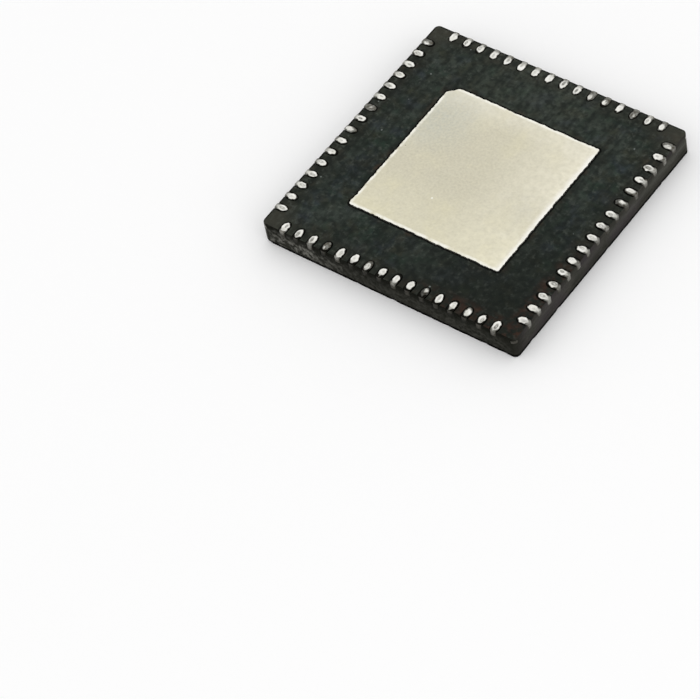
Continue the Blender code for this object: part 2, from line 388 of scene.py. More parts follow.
def terminal_mesh(name, side_name, index):
    """A lead with its dome of solder, no two of them quite alike."""
    size = SOLDER_SIZE[side_name]
    worn = WORN.get((side_name, index))
    rings = [lead_outline(0.0, LEAD_LOW), lead_outline(0.0, MOULDING_TOP + SOLDER_SHOULDER)]
    width = SOLDER_HALF_WIDTH * size * chance.uniform(0.86, 1.0)
    length = SOLDER_HALF_LENGTH * size * chance.uniform(0.84, 1.0)
    middle = SOLDER_MIDDLE + SOLDER_SHIFT * chance.uniform(-1.0, 1.0)
    rise = SOLDER_RISE * chance.uniform(0.80, 1.0)
    lean = chance.uniform(-0.12, 0.12)
    seed = Vector((chance.uniform(0, 90), chance.uniform(0, 90), 0.0))
    pit = Vector((chance.uniform(-0.25, 0.25), chance.uniform(-0.30, 0.30)))
    pit_size = chance.uniform(0.40, 0.80)
    pit_depth = chance.uniform(0.20, 0.95)
    pit_heart = chance.uniform(0.0, 0.9)
    outer_wear_and_shade = chance.uniform(0.25, 0.70)
    end_smear = chance.uniform(1.2, 2.4)
    outer_shade = chance.uniform(0.60, 1.20)
    foot = chance.uniform(0.80, 0.90) + SOLDER_LIGHTER_FOOT[side_name]
    if index in SMEARED_ENDS.get(side_name, ()):
        end_smear += SMEAR_ON_END
        outer_shade += SMEAR_ON_DOME

    def wobble(angle):
        """The solder's ragged outline."""
        way = Vector((math.cos(angle), math.sin(angle), 0.0))
        ragged = 0.15 * noise.noise(seed + way) + 0.09 * noise.noise(seed + way * 2.9)
        return 1.0 + min(ragged, 0.05)

    def pit_gap(spot):
        """How far a spot lies from the middle of the dome's pit."""
        return math.hypot(spot.x - pit.x, 0.75 * (spot.y - pit.y))

    for share in SOLDER_RINGS:
        ring = oval(width, length, (SOLDER_POWER, SOLDER_POWER), 0.0, share, wobble)
        for point in ring:
            spot = Vector((point.x / width, point.y / length))
            height = (1.0 - share**DOME_FLATNESS) ** DOME_FULLNESS
            tilt = 1.0 + lean * spot.y + 0.10 * noise.noise(seed + point * 9 / MM)
            sunk = PIT_DROP * pit_depth * (1.0 - eased(pit_gap(spot), 0.0, pit_size))
            sunk += 0.05 * noise.noise(seed + point * 22 / MM)
            height *= min(tilt, DOME_TALLEST) - sunk
            point.z = MOULDING_TOP + SOLDER_SHOULDER + rise * height
            point.y += middle
        rings.append(ring)
    mesh = loft(name, rings)

    def tarnish(point):
        """0 where the solder is bright, 1 where it is dull, and more under smears and residue; the
        dullness towards the outer end and at the foot is partly painted shade.
        """
        spot = Vector((point.x / width, (point.y - middle) / length))
        narrowed = 0.9 * eased(abs(point.x), 0.40 * LEAD_HALF_WIDTH, LEAD_HALF_WIDTH)
        if point.z < MOULDING_TOP:
            return end_smear + narrowed
        # Duller towards the outer end: wear, and painted shade for the darker outer end of the
        # dome.
        dull = outer_wear_and_shade * eased(-spot.y, 0.05, 1.00)
        gap = pit_gap(spot)
        pitted = 1.0 - eased(gap, 0.35 * pit_size, pit_size)
        pitted *= 1.0 - pit_heart * (1.0 - eased(gap, 0.0, 0.40 * pit_size))
        dull = max(dull, pit_depth * pitted)
        outside = FLUX + (outer_shade + narrowed - FLUX) * eased(-spot.y, 0.45, 0.90)
        # The dome's foot is duller: thin solder there, and painted shade for the dark outline of
        # its steep sides.
        ragged = foot + 0.20 * noise.noise(seed + point * 12 / MM)
        dull = max(dull, outside * eased(spot.length, ragged, ragged + 0.16))
        if worn:
            across, along, clean, dullness = worn
            far = (spot - Vector((across, along))).length
            far += 0.25 * noise.noise(seed + point * 16 / MM)
            dull = max(dull, dullness * eased(far, clean, clean + 0.60))
        return dull

    keep_tarnish(mesh, tarnish)
    for face in mesh.polygons:
        on_wall = face.center.z < MOULDING_TOP and face.center.y < CUT_END_DEPTH
        face.material_index = 1 if on_wall else 0
    return mesh


terminal_places = []
for side, side_name in enumerate(SIDES):
    for index, offset in enumerate(offsets(TERMINAL_PITCH)):
        name = f"terminal_{side_name}_{index + 1}"
        mesh = terminal_mesh(name, side_name, index)
        place = quarter_turn(side) @ Matrix.Translation((offset, -BODY_SIDE / 2, 0.0))
        mesh.transform(place)
        shade(mesh)
        piece = show(mesh.name, mesh, [solder, cut_metal])
        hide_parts("body_with_terminals")
        terminal_places.append((side_name, place))

# Die paddle. One etched copper plate, tin plated: the bare die pad with its pin 1 chamfer, a
# half-etched rim that locks it into the moulding, and four tie bars sawn off at the corners.
PACKAGE_TOP = 0.85 * MM
ETCHED_TOP = 0.72 * MM
PAD_SIDE = 5.30 * MM
PAD_CHAMFER = 0.30 * MM
PAD_LOW = 0.67 * MM
PAD_POINT_SPACING = 0.025 * MM
PAD_EDGE = 0.05 * MM
PAD_EDGE_DROP = 0.014 * MM
PAD_EDGE_STEPS = 6
PAD_CORNER = 0.045 * MM
PAD_WAVE = 0.019 * MM
PAD_SPECK = (-0.606 * MM, -1.297 * MM)
PADDLE_RIM = 0.20 * MM
TIE_BAR_WIDTH = 0.20 * MM
CORNER_RADIUS = 0.16 * MM
CORNER_STEPS = 8
WALL_POINT_SPACING = 0.06 * MM


def stepped(corners, spacing):
    """Points along a closed outline at about this spacing, each with its outward direction."""
    points = []
    for start, end in zip(corners, corners[1:] + corners[:1]):
        run = end - start
        outward = Vector((run.y, -run.x)).normalized()
        steps = max(1, round(run.length / spacing))
        for step in range(steps):
            points.append((start + run * step / steps, outward))
    return points


def pad_ring(grow, height):
    """The pad's outline, slightly wavy from etching and plating."""
    half = PAD_SIDE / 2
    cut = half - PAD_CORNER
    pin_1 = half - PAD_CHAMFER
    corners = [(cut, -half), (half, -cut), (half, cut), (cut, half), (-pin_1, half)]
    corners += [(-half, pin_1), (-half, -cut), (-cut, -half)]
    edge = stepped([Vector(corner) for corner in corners], PAD_POINT_SPACING)
    ring = []
    for index, (point, outward) in enumerate(edge):
        before = edge[index - 1][1]
        way = (outward + before) / (1 + outward.dot(before))
        spot = Vector((point.x, point.y, 0.0)) / MM
        wave = 0.5 * noise.noise(spot * 1.7) + 0.9 * noise.noise(spot * 5.1)
        wave += 0.9 * noise.noise(spot * 11.0) + 0.5 * noise.noise(spot * 19.0)
        moved = point + way * (grow + PAD_WAVE * wave)
        ring.append(Vector((moved.x, moved.y, height)))
    return ring


def pad_rings():
    """The pad, from inside its plate up to its rounded edge."""
    rings = [pad_ring(0.0, PAD_LOW)]
    for step in range(PAD_EDGE_STEPS + 1):
        angle = math.pi / 2 * step / PAD_EDGE_STEPS
        inset = PAD_EDGE * (1 - math.cos(angle))
        rings.append(pad_ring(-inset, PACKAGE_TOP - PAD_EDGE_DROP * (1 - math.sin(angle))))
    return rings


def etched_rings(grow, low, high):
    """The half-etched rim and the tie bars, past the body's corners."""
    half = PAD_SIDE / 2 + PADDLE_RIM + grow
    bar = TIE_BAR_WIDTH / 2 + grow
    foot = bar * math.sqrt(2)
    outline = []
    for quarter in range(4):
        turn = Matrix.Rotation(math.radians(90 * quarter), 2)
        along = Vector((1.0, 1.0)).normalized() * BODY_SIDE
        across = Vector((-1.0, 1.0)).normalized() * bar
        corner = [
            Vector((half, half - foot)),
            along - across,
            along + across,
            Vector((half - foot, half)),
        ]
        outline += [turn @ point for point in corner]
    return [[Vector((point.x, point.y, z)) for point in outline] for z in (low, high)]


def sawn_outline():
    """The sawn body's outline, each point with its outward direction."""
    reach = BODY_SIDE / 2 - CORNER_RADIUS
    steps = round(2 * reach / WALL_POINT_SPACING)
    outline = []
    for quarter in range(4):
        turn = Matrix.Rotation(math.radians(90 * quarter), 2)
        for step in range(CORNER_STEPS):
            angle = math.pi / 2 * step / CORNER_STEPS
            out = Vector((math.cos(angle), math.sin(angle)))
            outline.append((turn @ (Vector((reach, reach)) + out * CORNER_RADIUS), turn @ out))
        for step in range(steps):
            point = Vector((reach - 2 * reach * step / steps, BODY_SIDE / 2))
            outline.append((turn @ point, turn @ Vector((0.0, 1.0))))
    return outline


def block_rings(low, high):
    """The sawn outline at two heights, to trim the tie bars by."""
    outline = sawn_outline()
    return [[Vector((point.x, point.y, z)) for point, _ in outline] for z in (low, high)]


def carve(piece, steps, materials):
    """Joins shapes to a piece, cuts them out or trims it by them, and keeps what is left."""
    tools = []
    for operation, mesh in steps:
        tool = bpy.data.objects.new(mesh.name, mesh)
        bpy.context.scene.collection.objects.link(tool)
        modifier = piece.modifiers.new(mesh.name, "BOOLEAN")
        modifier.operation = operation
        modifier.solver = "MANIFOLD"
        modifier.object = tool
        tools.append(tool)
    graph = bpy.context.evaluated_depsgraph_get()
    made = bpy.data.meshes.new_from_object(piece.evaluated_get(graph))
    made.name = piece.name
    made.materials.clear()
    for material in materials:
        made.materials.append(material)
    piece.modifiers.clear()
    piece.data = made
    for tool in tools:
        bpy.data.objects.remove(tool, do_unlink=True)
    return made


def places(tree):
    """A point's place in metres, whole and in its three parts."""
    where = add(tree, "ShaderNodeTexCoord").outputs["Object"]
    return where, add(tree, "ShaderNodeSeparateXYZ", {}, {0: where}).outputs


def from_middle(tree, part, choice):
    """A point's distances from the two upright middle planes: the MAXIMUM or MINIMUM of them."""
    across = sums(tree, "ABSOLUTE", part["X"], 0.0)
    along = sums(tree, "ABSOLUTE", part["Y"], 0.0)
    return sums(tree, choice, across, along)


def near(tree, where, point, inner, outer):
    """A round spot: 1 inside its inner radius and 0 outside its outer one."""
    gap = add(tree, "ShaderNodeVectorMath", {"operation": "DISTANCE"}, {0: where, 1: point})
    return ramp(tree, gap.outputs["Value"], outer, inner)


def flecks_group():
    """Small separate flecks: so many cells a millimetre, of which a share shows a round spot."""
    inputs = {"Scale": 10.0, "Size": 0.2, "Share": 0.1}
    group, given, made = new_group("flecks", inputs)
    where = add(group, "ShaderNodeTexCoord").outputs["Object"]
    in_mm = add(group, "ShaderNodeVectorMath", {"operation": "SCALE"}, {0: where, "Scale": 1 / MM})
    sockets = {"Vector": in_mm.outputs[0], "Scale": given["Scale"]}
    cells = add(group, "ShaderNodeTexVoronoi", {}, sockets).outputs
    spots = sums(group, "LESS_THAN", cells["Distance"], given["Size"])
    draw = add(group, "ShaderNodeSeparateColor", {}, {0: cells["Color"]}).outputs[0]
    chosen = sums(group, "LESS_THAN", draw, given["Share"])
    group.links.new(both(group, spots, chosen), made)
    return group


flecks = flecks_group()


def fleck(tree, scale, size, share):
    """One layer of flecks in a material."""
    sockets = {"Scale": scale, "Size": size, "Share": share}
    return add(tree, "ShaderNodeGroup", {"node_tree": flecks}, sockets).outputs["Mask"]


def pad_finish():
    """Satin tin plate: cool at the pin 1 corner, lighter to the right, with painted highlights
    along its edges.
    """
    material, tree, shader = new_material("pad_plate", metallic=1.0)
    where, part = places(tree)
    far = from_middle(tree, part, "MAXIMUM")
    clouds = patch(tree, 0.7, 0.35, 0.65)
    colour = mixed(tree, clouds, paint(206, 201, 180), paint(212, 207, 186))
    cool = ramp(tree, sums(tree, "SUBTRACT", part["Y"], part["X"]), 2.2 * MM, 4.8 * MM)
    colour = mixed(tree, cool, colour, paint(228, 227, 216))
    light = ramp(tree, part["X"], 0.2 * MM, 2.6 * MM)
    colour = wash(tree, colour, light, 0.95, paint(248, 243, 223))
    top = ramp(tree, part["Y"], 1.8 * MM, 2.5 * MM)
    colour = wash(tree, colour, top, 0.7, paint(242, 238, 222))
    bottom = ramp(tree, part["Y"], -0.6 * MM, -2.4 * MM)
    colour = wash(tree, colour, bottom, 0.5, paint(240, 235, 206))
    grey_left = near(tree, where, (-2.2 * MM, 1.3 * MM, PACKAGE_TOP), 0.3 * MM, 1.5 * MM)
    colour = wash(tree, colour, grey_left, 0.8, paint(194, 195, 182))
    grey_right = near(tree, where, (2.1 * MM, -0.5 * MM, PACKAGE_TOP), 0.2 * MM, 1.2 * MM)
    colour = wash(tree, colour, grey_right, 0.5, paint(206, 204, 193))
    yellow = patch(tree, 0.9, 0.50, 0.70, shift=(2.0, 5.0, 1.0))
    colour = wash(tree, colour, yellow, 0.35, paint(232, 225, 188))
    blotches = patch(tree, 2.4, 0.40, 0.62, 3.0, shift=(7.0, 3.0, 0.0))
    colour = wash(tree, colour, blotches, 0.22, paint(206, 202, 184))
    mottle = patch(tree, 6.0, 0.35, 0.65)
    colour = wash(tree, colour, mottle, 0.36, paint(200, 195, 173))
    grain = patch(tree, 13.0, 0.3, 0.7, 2.0)
    colour = wash(tree, colour, grain, 0.36, paint(240, 235, 213))
    half = PAD_SIDE / 2
    pits = both(tree, fleck(tree, 4.0, 0.10, 0.16), ramp(tree, far, 1.9 * MM, half))
    colour = mixed(tree, pits, colour, paint(150, 146, 128))
    # Painted highlight along the pad's rounded edge, in ragged stretches.
    rim = ramp(tree, far, half - 0.11 * MM, half - 0.05 * MM)
    rim_highlight = both(tree, rim, patch(tree, 4.0, 0.28, 0.55, shift=(8.0, 2.0, 0.0)))
    colour = mixed(tree, rim_highlight, colour, paint(253, 251, 240))
    # A brighter painted highlight along the right edge, in cloudy stretches.
    right_rim_highlight = ramp(tree, part["X"], half - 0.20 * MM, half)
    cloudy = patch(tree, 2.6, 0.25, 0.60, 3.0, shift=(3.0, 6.0, 0.0))
    colour = mixed(tree, both(tree, right_rim_highlight, cloudy), colour, paint(255, 253, 246))
    speck = near(tree, where, (*PAD_SPECK, PACKAGE_TOP), 0.020 * MM, 0.035 * MM)
    colour = mixed(tree, speck, colour, paint(255, 254, 246))
    roughness = between(tree, clouds, 0.34, 0.44)
    waves = relief(tree, patch(tree, 1.3, 0.2, 0.8, 2.0), 0.008 * MM)
    normal = relief(tree, grain, 0.0015 * MM, waves)
    finish_shader(tree, shader, colour, roughness, normal)
    return material


def bar_tarnish(point):
    """The tie bars' cut ends: the front right one is smeared over, the others are bare."""
    smeared = point.x > BODY_SIDE / 4 and point.y < -BODY_SIDE / 4
    return 1.8 if smeared else 0.9


paddle = show("die_paddle_plate", loft("sheet", etched_rings(0.0, LEAD_LOW, ETCHED_TOP)), [])
pad = loft("pad", pad_rings())
block = loft("block", block_rings(0.0, 2 * PACKAGE_TOP))
steps = [("UNION", pad), ("INTERSECT", block)]
paddle_mesh = carve(paddle, steps, [pad_finish(), cut_metal])
for face in paddle_mesh.polygons:
    flat = abs(face.normal.z) > 0.5
    at_corner = face.center.xy.length > BODY_SIDE / 2 * math.sqrt(2) - 2 * CORNER_RADIUS
    face.material_index = 1 if at_corner and not flat else 0
keep_tarnish(paddle_mesh, bar_tarnish)
shade(paddle_mesh)
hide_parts("die_paddle")

# Die attach. A film of silver-filled epoxy that glues the die to the paddle. It is the CAD
# solid with a grainy grey finish.
silver, tree, shader = new_material("silver_epoxy", metallic=0.35)
flakes = patch(tree, 30.0, 0.35, 0.65)
finish_shader(
    tree,
    shader,
    mixed(tree, flakes, paint(150, 149, 145), paint(196, 195, 190)),
    between(tree, flakes, 0.45, 0.7),
    relief(tree, flakes, 0.002 * MM),
)
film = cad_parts["die_attach"]
film.data.materials.clear()
film.data.materials.append(silver)

# Die. A diced square of silicon, glued to the paddle by its back. Its circuit side faces the
# lid: dark blue grey, faintly tinted in blocks, with a pale scribe line round its edge.
DIE_SIDE = 4.20 * MM
DIE_LOW = 0.385 * MM
DIE_TOP = 0.585 * MM
DIE_CORNER = 0.004 * MM
SCRIBE_WIDTH = 0.06 * MM


def square_ring(half, height):
    """The four corners of a square round the middle of the part."""
    corners = ((half, -half), (half, half), (-half, half), (-half, -half))
    return [Vector((x, y, height)) for x, y in corners]


def silicon_finish():
    """Polished silicon with tinted circuit blocks."""
    material, tree, shader = new_material("silicon", metallic=0.3, specular=0.7)
    where, part = places(tree)
    far = from_middle(tree, part, "MAXIMUM")
    in_mm = add(tree, "ShaderNodeVectorMath", {"operation": "SCALE"}, {0: where, "Scale": 1 / MM})
    cells = add(
        tree,
        "ShaderNodeTexVoronoi",
        {"distance": "CHEBYCHEV"},
        {"Vector": in_mm.outputs[0], "Scale": 2.2, "Randomness": 0.8},
    )
    tint = add(tree, "ShaderNodeSeparateColor", {}, {0: cells.outputs["Color"]}).outputs[0]
    colour = mixed(tree, tint, paint(66, 74, 92), paint(92, 84, 104))
    scribe = sums(tree, "GREATER_THAN", far, DIE_SIDE / 2 - SCRIBE_WIDTH)
    colour = mixed(tree, scribe, colour, paint(150, 152, 158))
    fine = patch(tree, 40.0, 0.4, 0.6, 2.0)
    roughness = between(tree, fine, 0.12, 0.3)
    finish_shader(tree, shader, colour, roughness, relief(tree, fine, 0.0005 * MM))
    return material


def die_rings(grow):
    """The die with its edges broken, or the room that it needs."""
    half = DIE_SIDE / 2 + grow
    low, high = DIE_LOW - grow, DIE_TOP + grow
    return [
        square_ring(half - DIE_CORNER, low),
        square_ring(half, low + DIE_CORNER),
        square_ring(half, high - DIE_CORNER),
        square_ring(half - DIE_CORNER, high),
    ]


die = show("die", loft("die", die_rings(0.0)), [silicon_finish()])
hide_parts("die_with_bond_wires")

# Bond wires. Sixty-four fine copper wires, ball bonded to the die and stitched to the leads,
# each in the channel that the moulding leaves round it.
WIRE_RADIUS = 0.0125 * MM
BALL_RADIUS = 0.030 * MM
BALL_HEIGHT = 0.020 * MM
LOOP_HEIGHT = 0.15 * MM
LOOP_STEPS = 8
WIRE_SIDES = 8
BOND_PAD_INSET = 0.10 * MM
BOND_PAD_PITCH = 0.25 * MM
STITCH_INSET = 0.10 * MM
WIRE_GAP = 0.006 * MM


def wire_path(offset_on_die, offset_on_lead):
    """A front side wire's middle line: out of its ball, over the loop and down to its lead."""
    start = Vector((offset_on_die, BOND_PAD_INSET - DIE_SIDE / 2, DIE_LOW))
    end = Vector((offset_on_lead, LEAD_INNER_END - STITCH_INSET - BODY_SIDE / 2, 0.0))
    end.z = LEAD_LOW - FIT - WIRE_RADIUS
    low = DIE_LOW - LOOP_HEIGHT
    run = Vector((end.x, end.y, DIE_LOW)) - start
    knee = 2 * BALL_RADIUS / run.length
    path = [start - Vector((0.0, 0.0, FIT)), start - Vector((0.0, 0.0, BALL_HEIGHT))]
    for step in range(LOOP_STEPS + 1):
        share = step / LOOP_STEPS
        point = start + run * (knee + (1.0 - knee) * share)
        point.z = end.z + (low - end.z) * math.cos(math.pi / 2 * share)
        path.append(point)
    return path


def wire_rings(path, grow):
    """A round wire along its middle line, with its ball at the start."""
    side = (path[-1] - path[0]).cross(Vector((0.0, 0.0, 1.0))).normalized()
    rings = []
    for index, point in enumerate(path):
        along = path[min(index + 1, len(path) - 1)] - path[max(index - 1, 0)]
        over = side.cross(along.normalized())
        radius = (BALL_RADIUS if index == 0 else WIRE_RADIUS) + grow
        ring = []
        for step in range(WIRE_SIDES):
            angle = 2 * math.pi * step / WIRE_SIDES
            ring.append(point + (side * math.cos(angle) + over * math.sin(angle)) * radius)
        rings.append(ring)
    return rings


def copper_finish():
    """Drawn copper wire, a little darker in patches."""
    material, tree, shader = new_material("copper_wire", metallic=1.0)
    tone = patch(tree, 8.0, 0.35, 0.65)
    colour = mixed(tree, tone, paint(232, 170, 128), paint(196, 122, 84))
    drawn = patch(tree, 60.0, 0.3, 0.7, 1.0)
    roughness = between(tree, tone, 0.22, 0.38)
    finish_shader(tree, shader, colour, roughness, relief(tree, drawn, 0.0004 * MM))
    return material


copper = copper_finish()
wire_pairs = list(zip(offsets(BOND_PAD_PITCH), offsets(TERMINAL_PITCH)))
for side, side_name in enumerate(SIDES):
    for index, pair in enumerate(wire_pairs):
        mesh = loft(f"bond_wire_{side_name}_{index + 1}", wire_rings(wire_path(*pair), 0.0))
        mesh.transform(quarter_turn(side))
        shade(mesh, 60)
        wire = show(mesh.name, mesh, [copper])
        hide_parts("die_with_bond_wires")

# Moulding. One block of black epoxy filled with fine silica, moulded round all of the above.
# Its lid and its terminal side are matte from the mould; its four walls are cut by the saw.
TOP_EDGE_ROUND = 0.015 * MM
LID_EDGE_ROUND = 0.035 * MM
EDGE_STEPS = 3
WALL_FROM = 0.2 * LID_EDGE_ROUND
WALL_TO = MOULDING_TOP - 0.001 * MM
WALL_DEPTH = 0.04 * MM
WALL_STEP = 0.06 * MM
WALL_RELIEF = 0.005 * MM
CHIP_DEPTH = 0.060 * MM
CHIP_REACH = 0.12 * MM
CHIP_THRESHOLD = 0.16
TOP_CHIP_SHARE = 0.35
CREVICE_DEPTH = 0.030 * MM
TERMINAL_CREVICE = {
    "front": 0.030 * MM,
    "right": 0.030 * MM,
    "back": 0.012 * MM,
    "left": 0.022 * MM,
}
PAD_CREVICE = 0.085 * MM
DIMPLE_RADIUS = 0.25 * MM
DIMPLE_DRAFT = 0.03 * MM
DIMPLE_DEPTH = 0.06 * MM
DIMPLE_INSET = 1.50 * MM
DIMPLE_POINTS = 48
DIMPLE_PLACE = (DIMPLE_INSET - BODY_SIDE / 2, BODY_SIDE / 2 - DIMPLE_INSET)
ADHESIVE_SIDE = 4.50 * MM
ADHESIVE_LOW = 0.59 * MM


def edge_levels(radius):
    """Heights above a rounded edge's foot, each with how far the wall draws in there."""
    levels = []
    for step in range(EDGE_STEPS + 1):
        angle = math.pi / 2 * step / EDGE_STEPS
        levels.append((radius * (1 - math.cos(angle)), radius * (1 - math.sin(angle))))
    return levels


def wall_levels():
    """Heights from the lid to the terminal side, each with its inset at the rounded edges."""
    levels = edge_levels(LID_EDGE_ROUND)
    straight = MOULDING_TOP - LID_EDGE_ROUND - TOP_EDGE_ROUND
    steps = round(straight / WALL_STEP)
    levels += [(LID_EDGE_ROUND + straight * step / steps, 0.0) for step in range(1, steps)]
    top = [(MOULDING_TOP - height, inset) for height, inset in edge_levels(TOP_EDGE_ROUND)]
    return levels + top[::-1]


def moulding_mesh():
    """The sawn block, with saw relief in its walls and small chips along its edges."""
    rings = []
    for height, inset in wall_levels():
        ring = []
        for point, outward in sawn_outline():
            spot = Vector((point.x, point.y, height)) / MM
            saw = noise.noise(Vector((spot.x * 1.5, spot.y * 1.5, spot.z * 9.0)))
            grit = noise.noise(spot * 7.0)
            from_edge = min(height, MOULDING_TOP - height)
            bite = noise.noise(Vector((spot.x * 3.1, spot.y * 3.1, 31.0))) - CHIP_THRESHOLD
            chip = CHIP_DEPTH * max(0.0, bite) * max(0.0, 1.0 - from_edge / CHIP_REACH)
            share = 1.0 if height < MOULDING_TOP / 2 else TOP_CHIP_SHARE
            moved = WALL_RELIEF * (0.6 * saw + 0.4 * grit) - inset - chip * share
            ring.append(Vector((*(point + outward * moved), height)))
        rings.append(ring)
    return loft("moulding", rings)


def with_crevice(outline, foot, width):
    """Room for a piece of this outline, close round its foot and open to a crevice on top."""
    neck = MOULDING_TOP - CREVICE_DEPTH
    steps = ((FIT, foot), (FIT, neck), (FIT + width, MOULDING_TOP), (FIT + width, PACKAGE_TOP))
    return [outline(grow, height) for grow, height in steps]


def many(name, ring_sets):
    """One mesh of several separate closed shapes."""
    shape = bmesh.new()
    for rings, turn in ring_sets:
        mesh = loft(name, rings)
        mesh.transform(turn)
        shape.from_mesh(mesh)
        bpy.data.meshes.remove(mesh)
    mesh = bpy.data.meshes.new(name)
    shape.to_mesh(mesh)
    shape.free()
    return mesh


def dimple_rings():
    """The dished plug that the mould leaves the pin 1 dimple with."""
    centre = Vector((*DIMPLE_PLACE, 0.0))
    profile = (
        (DIMPLE_RADIUS + DIMPLE_DRAFT, -DIMPLE_DEPTH),
        (DIMPLE_RADIUS + 0.2 * DIMPLE_DRAFT, 0.0),
        (DIMPLE_RADIUS - 0.3 * DIMPLE_DRAFT, 0.5 * DIMPLE_DEPTH),
        (DIMPLE_RADIUS - DIMPLE_DRAFT, 0.85 * DIMPLE_DEPTH),
        (DIMPLE_RADIUS - 2 * DIMPLE_DRAFT, DIMPLE_DEPTH),
    )
    rings = []
    for radius, height in profile:
        ring = []
        for step in range(DIMPLE_POINTS):
            angle = 2 * math.pi * step / DIMPLE_POINTS
            ring.append(centre + Vector((math.cos(angle), math.sin(angle), 0.0)) * radius)
            ring[-1].z = height
        rings.append(ring)
    return rings


def face_finish():
    """The terminal side: green black, mottled in blue, olive and brown, with painted shade in its
    crevices.
    """
    material, tree, shader = new_material("moulded_face", specular=0.06)
    where, part = places(tree)
    far = from_middle(tree, part, "MAXIMUM")
    broad = patch(tree, 1.1, 0.38, 0.62, 4.0)
    colour = mixed(tree, broad, paint(42, 49, 43), paint(56, 63, 57))
    green = patch(tree, 2.1, 0.50, 0.66, 3.0, shift=(5.0, 2.0, 0.0))
    colour = wash(tree, colour, green, 0.6, paint(37, 53, 43))
    blue = patch(tree, 1.5, 0.52, 0.68, 3.0, shift=(1.0, 8.0, 3.0))
    colour = wash(tree, colour, blue, 0.6, paint(47, 53, 61))
    olive = patch(tree, 1.9, 0.50, 0.68, 3.0, shift=(6.0, 1.0, 7.0))
    colour = wash(tree, colour, olive, 0.6, paint(52, 52, 40))
    border = ramp(tree, far, 3.75 * MM, 4.10 * MM)
    earth = mixed(tree, olive, paint(42, 42, 34), paint(52, 47, 40))
    colour = wash(tree, colour, border, 0.7, earth)
    by_pad = ramp(tree, far, 2.90 * MM, 2.70 * MM)
    brown = patch(tree, 2.2, 0.50, 0.66, 3.0, shift=(4.0, 9.0, 0.0))
    colour = wash(tree, colour, by_pad, 0.35, paint(30, 33, 28))
    colour = mixed(tree, both(tree, by_pad, brown), colour, paint(60, 48, 38))
    light_side = near(tree, where, (-0.2 * MM, 3.4 * MM, MOULDING_TOP), 0.6 * MM, 3.9 * MM)
    colour = wash(tree, colour, light_side, 0.36, paint(78, 83, 74))
    shade_corner = near(tree, where, (3.4 * MM, -3.9 * MM, MOULDING_TOP), 0.6 * MM, 5.0 * MM)
    colour = wash(tree, colour, shade_corner, 0.8, paint(26, 29, 24))
    fine = patch(tree, 5.0, 0.40, 0.62, 3.0, shift=(3.0, 3.0, 0.0))
    colour = wash(tree, colour, fine, 0.60, paint(25, 29, 27))
    grains = patch(tree, 8.0, 0.54, 0.72, 3.0, shift=(0.0, 6.0, 2.0))
    shown = both(tree, grains, between(tree, shade_corner, 0.55, 0.28))
    colour = mixed(tree, shown, colour, paint(76, 81, 75))
    streaks = patch(tree, 1.6, 0.44, 0.66, 4.0, stretch=(3.2, 0.6, 1.0), shift=(2.0, 0.0, 4.0))
    colour = wash(tree, colour, streaks, 0.6, paint(26, 30, 27))
    rust_corner = near(tree, where, (4.3 * MM, -4.3 * MM, MOULDING_TOP), 1.2 * MM, 4.4 * MM)
    rust = both(tree, patch(tree, 4.2, 0.42, 0.66, shift=(9.0, 9.0, 0.0)), rust_corner)
    by_terminals = ramp(tree, far, 3.85 * MM, 4.10 * MM)
    rust = both(tree, by_terminals, rust)
    colour = wash(tree, colour, rust, 0.65, paint(66, 43, 34))
    for x, y in ((-4.3, -4.3), (-4.3, 4.3), (4.3, 4.3)):
        corner = near(tree, where, (x * MM, y * MM, MOULDING_TOP), 0.2 * MM, 1.0 * MM)
        colour = wash(tree, colour, corner, 0.5, paint(68, 67, 59))
    colour = mixed(tree, fleck(tree, 4.0, 0.12, 0.05), colour, paint(104, 109, 106))
    flipped = sums(tree, "MULTIPLY", part["X"], -1.0)
    back_or_left = sums(tree, "MAXIMUM", part["Y"], flipped)
    rim = ramp(tree, back_or_left, BODY_SIDE / 2 - 0.065 * MM, BODY_SIDE / 2 - 0.030 * MM)
    colour = wash(tree, colour, rim, 0.9, paint(12, 13, 10))
    # Painted shade deep in the crevices round the terminals and the pad.
    crevice_shade = ramp(tree, part["Z"], MOULDING_TOP - 0.002 * MM, MOULDING_TOP - 0.012 * MM)
    colour = mixed(tree, crevice_shade, colour, paint(6, 7, 5))
    roughness = between(tree, fine, 0.62, 0.80)
    sand = relief(tree, patch(tree, 22.0, 0.2, 0.8, 4.0), 0.008 * MM)
    normal = relief(tree, fine, 0.010 * MM, sand)
    finish_shader(tree, shader, colour, roughness, normal)
    return material


def corner_mask(tree, part):
    """Where the walls' upright corners are lighter: not at the front right one."""
    start, full = BODY_SIDE / 2 - 0.16 * MM, BODY_SIDE / 2 - 0.06 * MM
    corners = ramp(tree, from_middle(tree, part, "MINIMUM"), start, full)
    other_corners = ramp(tree, sums(tree, "SUBTRACT", part["X"], part["Y"]), 5.0 * MM, 4.0 * MM)
    ragged = patch(tree, 7.0, 0.32, 0.60, 3.0, shift=(1.0, 5.0, 5.0))
    return both(tree, both(tree, corners, other_corners), ragged)


